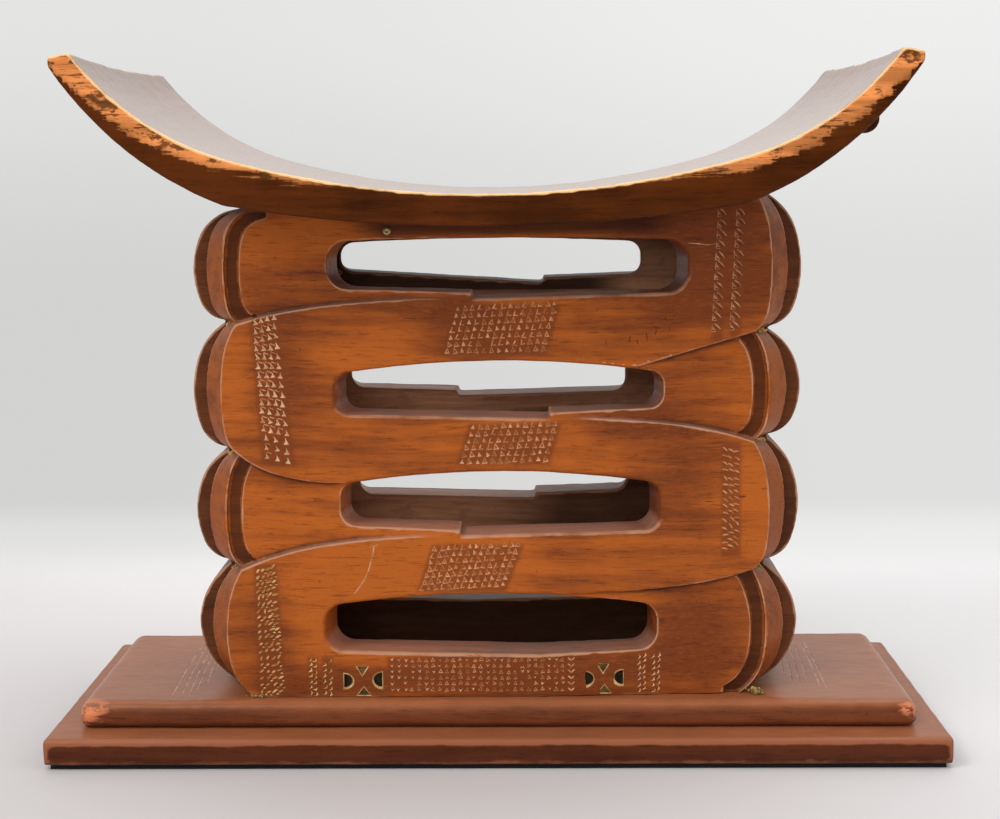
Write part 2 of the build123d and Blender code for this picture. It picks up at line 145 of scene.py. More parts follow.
# Where filler has crumbled: a place, how far it spreads along x, y and z, and how many crumbs
crumb_sites = (
    ((-165, -66, 191.6), (3.2, 6, 0.8), 26),
    ((-164, -64, 272.0), (2.6, 6, 0.7), 12),
    ((-164, -64, 118.6), (2.6, 6, 0.7), 14),
    ((165, -65, 266.4), (3.2, 6, 0.8), 26),
    ((165, -64, 198.4), (2.6, 6, 0.7), 14),
    ((165, -64, 117.4), (2.6, 6, 0.7), 16),
    ((160, -60, 351.0), (4.0, 8, 0.7), 22),
    ((-158, -58, 346.0), (3.5, 8, 0.6), 10),
    ((-150, -74, 37.6), (7.0, 3, 0.5), 54),
    ((163, -70, 38.6), (4.5, 4, 1.3), 60),
)

stained_zones = [left_strip, *(patch[:4] for patch in band_patches), right_strip, low_strip, foot_patch]
for (top_x, top_z), (low_x, low_z) in top_strips:
    ends = ((top_x, top_z), (low_x, low_z - 3))
    stained_zones.append(tuple((x + out, z) for x, z in ends for out in (0, top_strip_width)))
for left, right, _ in foot_strips:
    stained_zones.append(tuple((x, z) for z in (foot_strip_top, foot_strip_low) for x in (left, right)))


# ------------ camera and lamps
def rgb(*levels):
    """Linear colour of an sRGB one given in 0..255."""
    parts = [c / 255 for c in levels]
    return (*(((c + 0.055) / 1.055) ** 2.4 if c > 0.04045 else c / 12.92 for c in parts), 1.0)


def placed(name, data):
    """New object of some data, in the scene."""
    item = bpy.data.objects.new(name, data)
    scene.collection.objects.link(item)
    return item


def place_camera():
    data = bpy.data.cameras.new("camera")
    data.sensor_fit = "HORIZONTAL"
    data.sensor_width = sensor_width
    data.lens = camera_lens
    data.clip_start = 0.01
    camera = placed("camera", data)
    turn = Matrix.Rotation(camera_yaw, 4, "Z") @ Matrix.Rotation(pi / 2 - camera_down, 4, "X")
    camera.matrix_world = Matrix.Translation(camera_place) @ turn @ Matrix.Rotation(camera_roll, 4, "Z")
    scene.camera = camera


def area_light(name, place, target, size, power):
    data = bpy.data.lights.new(name, "AREA")
    data.shape = "RECTANGLE"
    data.size, data.size_y = size
    data.energy = power
    lamp = placed(name, data)
    lamp.location = place
    lamp.rotation_euler = (Vector(target) - Vector(place)).to_track_quat("-Z", "Y").to_euler()
    return lamp


# ------------ node materials
class Shader:
    """A node material with short ways to add nodes."""

    def __init__(self, name):
        self.material = bpy.data.materials.new(name)
        self.material.use_nodes = True
        self.tree = self.material.node_tree
        self.tree.nodes.clear()
        self.output = self.tree.nodes.new("ShaderNodeOutputMaterial")
        self.place = self.add("TexCoord").outputs["Object"]

    def add(self, kind, sources=(), **settings):
        """Node of a kind.  sources maps an input to a socket or a value."""
        node = self.tree.nodes.new("ShaderNode" + kind)
        for key, value in settings.items():
            setattr(node, key, value)
        for key, value in dict(sources).items():
            self.feed(node.inputs[key], value)
        return node

    def feed(self, socket, value):
        if isinstance(value, bpy.types.NodeSocket):
            self.tree.links.new(value, socket)
        else:
            socket.default_value = value

    def maths(self, operation, a, b):
        return self.add("Math", {0: a, 1: b}, operation=operation).outputs[0]

    def times(self, a, b):
        return self.maths("MULTIPLY", a, b)

    def plus(self, a, b):
        return self.maths("ADD", a, b)

    def mix(self, factor, a, b):
        node = self.add("Mix", {"Factor": factor}, data_type="RGBA")
        self.feed(node.inputs[6], a)
        self.feed(node.inputs[7], b)
        return node.outputs[2]

    def ramp(self, value, low, high, a=0.0, b=1.0):
        sources = {"Value": value, "From Min": low, "From Max": high, "To Min": a, "To Max": b}
        return self.add("MapRange", sources, interpolation_type="SMOOTHSTEP").outputs[0]

    def noise(self, vector, scale, detail, roughness):
        sources = {"Vector": vector, "Scale": scale, "Detail": detail, "Roughness": roughness}
        return self.add("TexNoise", sources).outputs["Fac"]

    def scaled(self, vector, scale, move=(0, 0, 0)):
        return self.add("Mapping", {"Vector": vector, "Scale": scale, "Location": move}).outputs[0]

    def attribute(self, name):
        return self.add("Attribute", attribute_name=name).outputs["Fac"]

    def bump(self, height, distance, strength):
        return self.add("Bump", {"Height": height, "Distance": distance, "Strength": strength}).outputs[0]

    def surface(self, **sources):
        """Principled shader, whose inputs are given as words joined with _."""
        named = {key.replace("_", " "): value for key, value in sources.items()}
        return self.add("BsdfPrincipled", named).outputs[0]

    def finish(self, shader):
        self.tree.links.new(shader, self.output.inputs["Surface"])
        return self.material


def wood(name, light, dark, deep, worn_and_lit, wear=(0.30, 0.85), dust_and_sheen=(0.35, rgb(176, 150, 136)), seed=0.0,
         along="X", gloss=0.36, bloom=0.55, bare_and_lit=rgb(214, 128, 62), coat=0.0, grime_and_shade_amount=0.8,
         coat_roughness=0.22, knots=0.8, shine=0.14):
    """Oiled wood with streaks, blotches, bare patches, grime and painted shade, dust and painted sheen, and
    worn edges that are partly painted highlight.  It reads the mesh attributes shade, stain, hollow and
    edge, and the one for bare wood and painted light.  wear is the range of edge from sound to worn, the
    dust and painted sheen on what faces up are an amount and a colour, and bloom keeps wear and painted
    highlight off what faces down."""
    s = Shader(name)
    place = s.place
    bare_and_lit_here = s.attribute("bare_and_lit")
    up = s.add("SeparateXYZ", {0: s.add("NewGeometry").outputs["Normal"]}).outputs[2]

    # Places along the grain, which sways a little
    stretch = {"X": (1, 13, 13), "Y": (13, 1, 13), "Z": (13, 13, 1)}[along]
    bend = s.add("TexNoise", {"Vector": place, "Scale": 6.0, "Detail": 1.0}).outputs["Color"]
    sway = s.add("VectorMath", {0: bend, 1: (0.012, 0.012, 0.012)}, operation="MULTIPLY").outputs[0]
    moved = s.add("VectorMath", {0: place, 1: sway}, operation="ADD").outputs[0]
    grain = s.scaled(moved, stretch, (seed, seed * 0.7, seed * 1.3))
    streaks = s.noise(grain, 9.0, 6.0, 0.6)
    fibres = s.noise(grain, 60.0, 4.0, 0.65)
    threads = s.noise(s.scaled(moved, stretch, (0, seed, seed)), 150.0, 2.0, 0.5)
    blotches = s.noise(s.scaled(place, (1, 1, 1), (seed, seed, seed)), 9.0, 4.0, 0.55)
    patches = s.noise(s.scaled(place, (1, 2, 2), (seed, 0, 0)), 30.0, 5.0, 0.7)
    pores = s.noise(s.scaled(place, (6, 60, 60), (seed, 0, 0)), 16.0, 2.0, 0.5)
    tiny = s.noise(place, 420.0, 2.0, 0.6)

    # Oiled ground, darker and lighter in the broad patches of the shade attribute, which are partly painted
    # light and shade
    tone = s.plus(s.times(streaks, 0.45), s.times(blotches, 0.55))
    tone = s.maths("SUBTRACT", tone, s.times(s.attribute("shade"), 0.22))
    colour = s.mix(s.ramp(tone, 0.36, 0.60), dark, light)
    colour = s.mix(s.times(s.ramp(fibres, 0.50, 0.72), 0.52), colour, deep)
    colour = s.mix(s.ramp(tiny, 0.62, 0.80, 0.0, 0.4), colour, deep)
    colour = s.mix(s.ramp(threads, 0.56, 0.70, 0.0, 0.35), colour, light)
    colour = s.mix(s.ramp(pores, 0.70, 0.78, 0.0, 0.75), colour, deep)
    colour = s.mix(s.times(s.attribute("stain"), 0.75), colour, dark)

    # Bare wood with ragged ends and dark specks, darker where it is only half bare.  Inside the back screen
    # the same mix is painted light.
    ragged = s.times(s.maths("SUBTRACT", s.noise(grain, 16.0, 6.0, 0.7), 0.5), 1.7)
    rubbed_and_lit = s.ramp(s.plus(bare_and_lit_here, ragged), 0.46, 0.62)
    rubbed_and_lit = s.times(rubbed_and_lit, s.ramp(bare_and_lit_here, 0.02, 0.15))
    long_specks = s.ramp(s.noise(grain, 42.0, 5.0, 0.75), 0.54, 0.62)
    round_specks = s.ramp(s.noise(s.scaled(place, (1, 2, 2)), 55.0, 6.0, 0.7), 0.54, 0.60)
    specks = s.maths("MAXIMUM", long_specks, round_specks)
    fresh_and_lit = s.mix(s.ramp(streaks, 0.35, 0.65), bare_and_lit, s.mix(0.45, bare_and_lit, dark))
    fresh_and_lit = s.mix(s.ramp(bare_and_lit_here, 0.95, 0.45, 0.0, 0.35), fresh_and_lit, dark)
    fresh_and_lit = s.mix(s.times(specks, knots), fresh_and_lit, deep)
    colour = s.mix(rubbed_and_lit, colour, fresh_and_lit)

    # Grime and painted shade in the hollows, channels, slopes and under the seat, and dust and painted
    # sheen on what faces up
    grime_and_shade = s.times(s.maths("SUBTRACT", blotches, 0.5), 0.6)
    grime_and_shade = s.plus(s.attribute("hollow"), grime_and_shade)
    colour = s.mix(s.ramp(grime_and_shade, 0.25, 1.0, 0.0, grime_and_shade_amount), colour, deep)
    amount, dust_and_sheen_colour = dust_and_sheen
    dust_and_sheen_here = s.times(s.ramp(up, 0.15, 0.95), s.ramp(patches, 0.25, 0.75, 0.72, 1.0))
    colour = s.mix(s.times(dust_and_sheen_here, amount), colour, dust_and_sheen_colour)

    # Worn edges, partly painted highlight, kept off what faces down
    edge = s.attribute("edge")
    uneven = s.times(s.maths("SUBTRACT", patches, 0.5), 1.3)
    lift = s.ramp(up, -0.6, 0.5, -bloom, 0.12)
    worn_and_lit_here = s.ramp(s.plus(s.plus(edge, uneven), lift), wear[0], wear[1])
    worn_and_lit_here = s.times(worn_and_lit_here, s.ramp(edge, 0.05, 0.3))
    colour = s.mix(s.times(worn_and_lit_here, 0.9), colour, worn_and_lit)

    spots = s.ramp(fibres, 0.3, 0.8, gloss - 0.05, gloss + 0.10)
    rough = s.plus(spots, s.times(s.plus(worn_and_lit_here, dust_and_sheen_here), 0.10))
    height = s.plus(s.times(fibres, 0.7), s.times(tiny, 0.2))
    return s.finish(s.surface(
        Base_Color=colour, Roughness=rough, Normal=s.bump(height, 0.00015, 0.6), Specular_IOR_Level=shine,
        Coat_Weight=s.ramp(up, 0.2, 0.9, 0.0, coat), Coat_Roughness=coat_roughness
    ))


def mottled(name, pale, dirty, scale=260.0, roughness=0.8):
    """Mottled matte colour: chalky dust, filler, and the painted shade on the walls of pits."""
    s = Shader(name)
    mottle = s.noise(s.place, scale, 3.0, 0.65)
    colour = s.mix(s.ramp(mottle, 0.35, 0.65), dirty, pale)
    return s.finish(s.surface(Base_Color=colour, Roughness=roughness, Normal=s.bump(mottle, 0.0003, 0.6)))


def brass(name):
    """Dull brass, darker where it is tarnished and in its hollows."""
    s = Shader(name)
    tarnish = s.noise(s.place, 700.0, 3.0, 0.6)
    colour = s.mix(s.ramp(tarnish, 0.35, 0.65), rgb(196, 172, 122), rgb(150, 122, 78))
    colour = s.mix(s.attribute("hollow"), colour, rgb(30, 22, 14))
    rough = s.ramp(tarnish, 0.3, 0.7, 0.32, 0.6)
    return s.finish(s.surface(Base_Color=colour, Metallic=0.6, Roughness=rough))


def felt(name):
    """Black felt with short fibres."""
    s = Shader(name)
    fibres = s.noise(s.place, 900.0, 3.0, 0.7)
    colour = s.mix(s.ramp(fibres, 0.35, 0.7), rgb(14, 14, 15), rgb(38, 37, 38))
    return s.finish(s.surface(Base_Color=colour, Roughness=0.95, Normal=s.bump(fibres, 0.0004, 0.8)))


def steel(name):
    """Plain steel of the screws, with turning marks."""
    s = Shader(name)
    marks = s.noise(s.scaled(s.place, (1, 1, 30)), 200.0, 2.0, 0.5)
    colour = s.mix(marks, rgb(150, 150, 152), rgb(196, 196, 198))
    rough = s.ramp(marks, 0.3, 0.7, 0.28, 0.45)
    return s.finish(s.surface(Base_Color=colour, Metallic=1.0, Roughness=rough))


# Pale of the worn edges, partly painted highlight
edge_pale = rgb(196, 144, 112)
# Cut faces: punch_shade is painted shade on the steep walls of chips and pits and beside slashes
cut_materials = [
    mottled("punch_dust", rgb(226, 182, 142), rgb(176, 122, 82)),
    mottled("punch_shade", rgb(88, 44, 20), rgb(54, 26, 12)),
    mottled("chalk_dust", rgb(222, 188, 126), rgb(160, 116, 60)),
    mottled("pit_dark", rgb(60, 48, 24), rgb(22, 14, 9), scale=180.0),
    mottled("pit_olive", rgb(132, 102, 52), rgb(74, 50, 24), scale=180.0),
    mottled("fresh_arris", rgb(250, 150, 84), rgb(206, 96, 40), roughness=0.35),
    mottled("stroke_pale", rgb(212, 164, 128), rgb(164, 112, 78)),
]
scratch_dust = mottled("scratch_dust", rgb(222, 186, 164), rgb(170, 126, 104))
filler = mottled("filler", rgb(196, 170, 104), rgb(120, 92, 48), scale=500.0)
tack_brass = brass("tack_brass")

# On every wood the dust on what faces up is partly painted sheen, strongest on the tops of the seat, slab
# and plinth
column = wood(
    "column_wood", rgb(186, 97, 33), rgb(124, 61, 26), rgb(58, 27, 13), edge_pale, seed=1.0,
    gloss=0.42
)
# The back screen's bare colour is painted light on its face towards the hollow, and its darker grime
# deepens the painted shade there
back = wood(
    "back_wood", rgb(158, 92, 52), rgb(116, 62, 34), rgb(44, 22, 13), edge_pale, seed=2.0,
    grime_and_shade_amount=0.9, bare_and_lit=rgb(226, 168, 128), knots=0.2
)
cheek = wood(
    "cheek_wood", rgb(114, 62, 32), rgb(78, 40, 20), rgb(40, 20, 11), edge_pale, seed=3.0
)
seat = wood(
    "seat_wood", rgb(92, 44, 13), rgb(54, 24, 5), rgb(30, 14, 5), rgb(250, 200, 140),
    seed=4.0, gloss=0.24, dust_and_sheen=(0.62, rgb(196, 148, 114)), bare_and_lit=rgb(250, 156, 88), coat=1.0,
    coat_roughness=0.20, shine=0.06, wear=(0.60, 1.15), bloom=1.4
)
slab = wood(
    "slab_wood", rgb(132, 72, 42), rgb(100, 52, 30), rgb(50, 26, 16), rgb(196, 124, 86),
    seed=5.0, gloss=0.32, dust_and_sheen=(0.60, rgb(196, 122, 78)), bare_and_lit=rgb(240, 146, 100), coat=0.35,
    wear=(0.60, 1.2)
)
plinth = wood(
    "plinth_wood", rgb(94, 44, 20), rgb(66, 30, 13), rgb(36, 18, 10), rgb(160, 96, 66),
    seed=6.0, gloss=0.34, dust_and_sheen=(0.75, rgb(190, 118, 78)), coat=0.25
)
dowel = wood(
    "dowel_wood", rgb(206, 166, 112), rgb(178, 134, 84), rgb(122, 84, 48), rgb(214, 180, 132),
    along="Z"
)


# ------------ mesh helpers
def rows_of(items, name, width, kind=np.float32):
    """One property of many items, as a row of numbers for each."""
    flat = np.empty(len(items) * width, kind)
    items.foreach_get(name, flat)
    return flat.reshape(-1, width)


def normal_array(mesh):
    return rows_of(mesh.vertex_normals, "vector", 3).astype(float)


def set_vertices(mesh, places):
    mesh.vertices.foreach_set("co", places.astype(np.float32).ravel())
    mesh.update()


def put_attribute(mesh, name, values):
    held = mesh.attributes.get(name) or mesh.attributes.new(name, "FLOAT", "POINT")
    held.data.foreach_set("value", values.astype(np.float32))


def applied(piece):
    """Puts the result of a piece's modifiers in its mesh."""
    bpy.context.view_layer.update()
    result = piece.evaluated_get(bpy.context.evaluated_depsgraph_get())
    mesh = bpy.data.meshes.new_from_object(result)
    piece.modifiers.clear()
    piece.data = mesh
    return mesh


def relaxed(rows, edges, rounds):
    """A row of values for each vertex, moved half way to the mean of its neighbours in each round."""
    a, b = edges.T
    count = len(rows)
    degree = np.maximum(np.bincount(a, minlength=count) + np.bincount(b, minlength=count), 1)
    for _ in range(rounds):
        total = [np.bincount(a, one[b], count) + np.bincount(b, one[a], count) for one in rows.T]
        rows = rows + 0.5 * (np.stack(total, axis=1) / degree[:, None] - rows)
    return rows


def waves(places, length, seed):
    """Smooth random field of about unit height, with bumps of about the given length."""
    count = 28
    rng = np.random.default_rng(seed)
    ways = rng.normal(size=(count, 3))
    ways /= np.linalg.norm(ways, axis=1)[:, None]
    ways *= 2 * pi / length * rng.uniform(0.6, 1.4, (count, 1))
    phases = rng.uniform(0, 2 * pi, count)
    return np.sin(places @ ways.T + phases).sum(axis=1) / np.sqrt(count / 2)


def sunk(places, seed):
    """Depth in metres that hand work and wear took off a surface, at each place."""
    broad = waves(places, long_wave * mm, seed)
    fine = waves(places, short_wave * mm, seed + 1)
    return np.clip(wobble * (0.55 + 0.30 * broad + 0.15 * fine), 0, None) * mm


# ------------ wear at each vertex, from its place in mm
def stained(places, normals, zones):
    """How dark the ground of the ornament is.  A zone is a slanted patch of the front face."""
    stain = np.zeros(len(places))
    front = (normals[:, 1] < -0.9) & (places[:, 1] < front_plane / mm + 9)
    for top_left, top_right, low_left, low_right in zones:
        height = top_left[1] - low_left[1]
        down = (top_left[1] - places[:, 2]) / height
        left = top_left[0] + (low_left[0] - top_left[0]) * down
        right = top_right[0] + (low_right[0] - top_right[0]) * down
        sides = places[:, 0] - left + 2, right + 2 - places[:, 0]
        inside = np.minimum.reduce([*sides, (down + 0.05) * height, (1.05 - down) * height])
        stain = np.maximum(stain, np.clip(inside / 2.5, 0, 1) * front)
    return stain


def shaded_channels(places, normals):
    """1 in the channels beside the recessed faces: painted shade, where shade falls in them."""
    x, y, z = np.abs(places).T
    deep = np.clip((channel_start - y) / 0.8, 0, 1) * (y > channel_floor)
    return deep * (x > lobe_faces) * (z > column_foot) * (np.abs(normals[:, 1]) > 0.94)


def sloping(places, normals):
    """Whether it is on the slopes beside the faces of the lobes."""
    x, y, _ = np.abs(places).T
    return (x > lobe_slopes) * (np.abs(normals[:, 1]) < 0.92) * (y > 30)


def shadow_under_seat(places):
    """1 on the front's top bar, close under the seat, where painted shadow of the seat makes it nearly
    black.
    """
    x, _, z = places.T
    return np.clip((z - seat_shadow_low) / 12, 0, 1) * np.clip((seat_shadow_half - np.abs(x - seat_shadow_middle)) / 40, 0, 1)


def towards_hollow(places):
    """1 on the back screen's face towards the hollow between the screens."""
    return np.clip((hollow_face - places[:, 1]) / 3, 0, 1)


def unlit(places):
    """How black the back screen is inside, seen through the lower two slots, the first and the second."""
    x, _, z = places.T
    low = np.where(z < 112, 0.95, np.clip(0.55 + x / 140, 0.0, 0.85))
    dark = np.where(z > 285, np.clip((105 - x) / 45, 0.15, 1.0), low)
    dark = np.where((z > 205) & (z < 285), np.clip(0.1 + (x + 60) / 120, 0.0, 0.55), dark)
    return dark * towards_hollow(places)


def shaded(places):
    """How much darker the front is, from a few broad soft patches: partly old polish, partly painted light
    and shade.
    """
    shade = np.zeros(len(places))
    for x, z, reach_x, reach_z, amount in dark_patches:
        distance = ((places[:, 0] - x) / reach_x) ** 2 + ((places[:, 2] - z) / reach_z) ** 2
        shade += amount * np.exp(-distance)
    return np.clip(shade, -1, 1.5)


def bare_faces(places):
    """How bare the seat's front and back are: all of the face at the tips, a strip of it in the middle."""
    x, y, z = places.T
    face = np.abs(y) > seat_face
    column_of = np.round((x - x.min()) / 2).astype(int)
    top = np.full(column_of.max() + 1, -1e3)
    low = np.full(column_of.max() + 1, 1e3)
    np.maximum.at(top, column_of[face], z[face])
    np.minimum.at(low, column_of[face], z[face])
    share = (top[column_of] - z) / np.maximum(top - low, 1)[column_of]
    reach = 0.03 + 0.84 * (np.abs(x + 3.5) / 250) ** 2.3
    return np.clip((reach - share) / 0.5 + 0.44, 0, 1) * face


def lit_inside(places):
    """How much painted light lies on the back screen's face towards the hollow, as light coming in through
    the slots.
    """
    return towards_hollow(places) * (np.abs(places[:, 0]) < 150)


def bare_corners(places):
    """How bare the slab's corners are worn."""
    bare_and_lit = np.zeros(len(places))
    for corner, reach in slab_worn_spots:
        distance = np.linalg.norm((places - corner) * (0.6, 1, 1), axis=1)
        bare_and_lit = np.maximum(bare_and_lit, np.clip(1.25 * (1 - distance / reach), 0, 1))
    return bare_and_lit


def edges_and_hollows(places, normals, edges, voxel):
    """How much each vertex stands out as an edge, and how far it lies in a hollow, in 0..1."""
    near = relaxed(places, edges, near_rounds)
    far = relaxed(near, edges, far_rounds)
    edge = ((places - near) * normals).sum(axis=1) / (0.30 * voxel * mm)
    edge = relaxed(np.clip(edge, 0, 1)[:, None], edges, round(2.4 / voxel))[:, 0] * 1.4
    hollow = ((far - places) * normals).sum(axis=1) / (1.6 * voxel * mm)
    return np.clip(edge, 0, 1), np.clip(hollow, 0, 1)


def carved(node, voxel, seed, zones, bare_and_lit):
    """New piece in the shape of a CAD node, as a close mesh with hand-worn edges and surfaces."""
    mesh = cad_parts[node].data.copy()
    mesh.materials.clear()
    piece = placed(node + "_carved", mesh)
    remesh = piece.modifiers.new("close", "REMESH")
    remesh.mode = "VOXEL"
    remesh.voxel_size = voxel * mm
    mesh = applied(piece)
    edges = rows_of(mesh.edges, "vertices", 2, np.int32)
    places = relaxed(rows_of(mesh.vertices, "co", 3).astype(float), edges, soften_rounds)
    set_vertices(mesh, places)
    places = places - normal_array(mesh) * sunk(places, seed)[:, None]
    set_vertices(mesh, places)
    normals = normal_array(mesh)
    edge, hollow = edges_and_hollows(places, normals, edges, voxel)
    places = places / mm
    if node.endswith("screen"):
        # Painted shade: the slopes beside the lobes half dark, the channels fully
        hollow = np.where(sloping(places, normals), 0.5, hollow)
        hollow = np.maximum(hollow, shaded_channels(places, normals))
    if node == "back_screen":
        hollow = np.maximum(hollow, unlit(places))
    if node == "front_screen":
        # Painted shadow of the seat on the top bar, and patches of partly painted light and shade
        hollow = np.maximum(hollow, shadow_under_seat(places))
        put_attribute(mesh, "shade", shaded(places))
    put_attribute(mesh, "edge", edge)
    put_attribute(mesh, "hollow", hollow)
    put_attribute(mesh, "stain", stained(places, normals, zones))
    # Bare wood, and painted light inside the back screen
    if bare_and_lit:
        put_attribute(mesh, "bare_and_lit", bare_and_lit(places))
    mesh.shade_smooth()
    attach(piece, "root")
    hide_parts(node)
    return piece


# ------------ cutters for the ornament
def groove_sides(a, b):
    """Sides of a groove between two of its three-cornered sections, which start at vertices a and b."""
    return [(a, b, b + 1, a + 1), (a + 1, b + 1, b + 2, a + 2), (a + 2, b + 2, b, a)]


class Cutters:
    """Closed wedges to cut from a face, drawn in mm on a plane over it.  Depths go into the face.
    A kind is the number of a cut face's material, in the list that piece() gets."""

    def __init__(self, node, origin, right, up, inward, seed):
        self.origin, self.right, self.up, self.inward = np.array([origin, right, up, inward], float)
        self.seed = seed
        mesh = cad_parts[node].data
        corners = [vert.co for vert in mesh.vertices]
        self.surface = BVHTree.FromPolygons(corners, [face.vertices for face in mesh.polygons])
        self.ground, self.depths, self.faces, self.kinds = [], [], [], []

    def under(self, u, v):
        """How far in metres the CAD's face lies under the plane, which is a few mm at most."""
        before, reach = 1 * mm, 10 * mm
        start = self.origin + (self.right * u + self.up * v) * mm
        found = self.surface.ray_cast(Vector(start - self.inward * before), Vector(self.inward), reach)[3]
        return max(found - before, 0) if found else 0

    def add(self, places, faces, kinds):
        """places are (right, up, depth).  kinds gives each face its material."""
        first = len(self.ground)
        u, v, _ = np.mean(places, axis=0)
        under = self.under(u, v)
        for u, v, depth in places:
            self.ground.append(self.origin + (self.right * u + self.up * v) * mm + self.inward * under)
            self.depths.append(depth * mm)
        self.faces += [[first + i for i in face] for face in faces]
        self.kinds += kinds

    def pit(self, outline, deep, depth, kinds):
        """Pyramid from an anticlockwise outline down to one deep point.  kinds has one material a side."""
        grow = (depth + lip) / depth
        top = [(deep[0] + (u - deep[0]) * grow, deep[1] + (v - deep[1]) * grow, -lip) for u, v in outline]
        count = len(top)
        sides = [(i, (i + 1) % count, count) for i in range(count)]
        self.add([*top, (*deep, depth)], [tuple(reversed(range(count))), *sides], [0, *kinds])

    def stroke(self, points, width, depth, kind=0):
        """V-shaped groove along a line of points, narrow and shallow at its ends."""
        points = np.array(points, float)
        grow = (depth + lip) / depth * width / 2
        places, faces = [], []
        for i, point in enumerate(points):
            along = points[min(i + 1, len(points) - 1)] - points[max(i - 1, 0)]
            side = np.array([-along[1], along[0]]) / np.hypot(*along)
            share = 0.45 if i in (0, len(points) - 1) else 1.0
            left = point + side * grow * share
            right = point - side * grow * share
            places += [(*left, -lip), (*right, -lip), (*point, depth * share)]
        end = 3 * len(points) - 3
        for a in range(0, end, 3):
            faces += groove_sides(a, a + 3)
        faces += [(0, 1, 2), (end, end + 2, end + 1)]
        self.add(places, faces, [kind] * len(faces))

    def ring(self, corners, width, depth, kind=0):
        """V-shaped groove round a closed outline."""
        corners = np.array(corners, float)
        middle = corners.mean(axis=0)
        grow = (depth + lip) / depth * width / 2
        places, faces = [], []
        for corner in corners:
            away = (corner - middle) / np.hypot(*(corner - middle))
            places += [(*(corner + away * grow), -lip), (*(corner - away * grow), -lip), (*corner, depth)]
        count = len(corners)
        for i in range(count):
            faces += groove_sides(3 * i, 3 * ((i + 1) % count))
        self.add(places, faces, [kind] * len(faces))

    def well(self, outline, steps, kinds, lean):
        """Stepped hole.  steps are (share of the outline's size, depth) from the top down, and kinds are
        for the sides of each step and the floor.  lean moves all but the top aside, and up a little."""
        outline = np.array(outline, float)
        middle = outline.mean(axis=0)
        count = len(outline)
        places, faces, face_kinds = [], [tuple(reversed(range(count)))], [kinds[0]]
        for level, (share, depth) in enumerate(steps):
            aside = np.array([lean, lean_rise]) if lean and level else np.zeros(2)
            places += [(*(middle + aside + (corner - middle) * share), depth) for corner in outline]
            if level:
                low, high = level * count, (level - 1) * count
                for i in range(count):
                    following = (i + 1) % count
                    faces.append((high + i, high + following, low + following, low + i))
                face_kinds += [kinds[level - 1]] * count
        faces.append(tuple(range((len(steps) - 1) * count, len(steps) * count)))
        self.add(places, faces, face_kinds + [kinds[len(steps) - 1]])

    def piece(self, materials):
        """The wedges as one object.  They sink with the worn surface, so that their depths hold there."""
        ground = np.array(self.ground)
        depths = np.array(self.depths) + sunk(ground, self.seed)
        places = ground + self.inward * depths[:, None]
        mesh = bpy.data.meshes.new("cutters")
        mesh.from_pydata(places.tolist(), [], self.faces)
        for material in materials:
            mesh.materials.append(material)
        mesh.polygons.foreach_set("material_index", self.kinds)
        work = bmesh.new()
        work.from_mesh(mesh)
        bmesh.ops.recalc_face_normals(work, faces=work.faces)
        work.to_mesh(mesh)
        work.free()
        return placed("cutters", mesh)


def cut(piece, cutters, materials):
    """Cuts the wedges from a piece.  Their faces keep their own materials."""
    tool = cutters.piece(materials)
    modifier = piece.modifiers.new("ornament", "BOOLEAN")
    modifier.operation = "DIFFERENCE"
    modifier.solver = "MANIFOLD"
    modifier.object = tool
    modifier.material_mode = "TRANSFER"
    mesh = applied(piece)
    bpy.data.objects.remove(tool)
    mesh.shade_smooth()
    mesh.set_sharp_from_angle(angle=sharp_angle)


# ------------ ornament
def between(zone, across, down):
    """Place in a zone, by shares of its width and height."""
    top_left, top_right, low_left, low_right = np.array(zone[:4], float)
    top = top_left + (top_right - top_left) * across
    low = low_left + (low_right - low_left) * across
    return top + (low - top) * down


def cell(rng, zone, number, columns, row, rows, spread, middle=0.5):
    """Place of a mark in its column and row of a zone, a little off."""
    return between(zone, (number + middle) / columns, (row + 0.5) / rows) + rng.normal(0, spread, 2)


def turned(points, place, angle, size=1.0):
    """Small outline, turned, sized and put in its place."""
    c, s = cos(angle) * size, sin(angle) * size
    return [(place[0] + c * u - s * v, place[1] + s * u + c * v) for u, v in points]


def chip(tool, place, angle, size, kinds=(dust_face, dust_face, shade_face)):
    """Three-cornered chip, steep on its left and sloping to its right foot."""
    outline = turned([(-1.4, -1.6), (1.7, -1.6), (-0.6, 2.3)], place, angle, size)
    deep = turned([(-0.75, -0.1)], place, angle, size)[0]
    tool.pit(outline, deep, 0.8 * size, list(kinds))


def punched_triangles(tool, rng, patch):
    """Rows of small triangles: rings, open corners and pits."""
    rows, columns = patch[4:]
    for row in range(rows):
        for number in range(columns):
            if rng.random() < 0.03:
                continue
            place = cell(rng, patch, number, columns, row, rows, 0.22)
            size = rng.uniform(0.8, 1.02)
            angle = rng.normal(0.02, 0.14)
            left, right, top = turned([(-1.35, -1.5), (1.4, -1.3), (-0.15, 1.7)], place, angle, size)
            style = rng.random()
            width = rng.uniform(1.0, 1.35)
            if style < 0.45:
                tool.ring([left, right, top], width, rng.uniform(0.6, 0.75))
            elif style < 0.72:
                tool.stroke([top, left, right], width * 1.1, 0.6)
            else:
                deep = ((left[0] + right[0]) / 2, left[1] + 0.6)
                tool.pit([left, right, top], deep, 0.7, [dust_face, pale_face, dust_face])


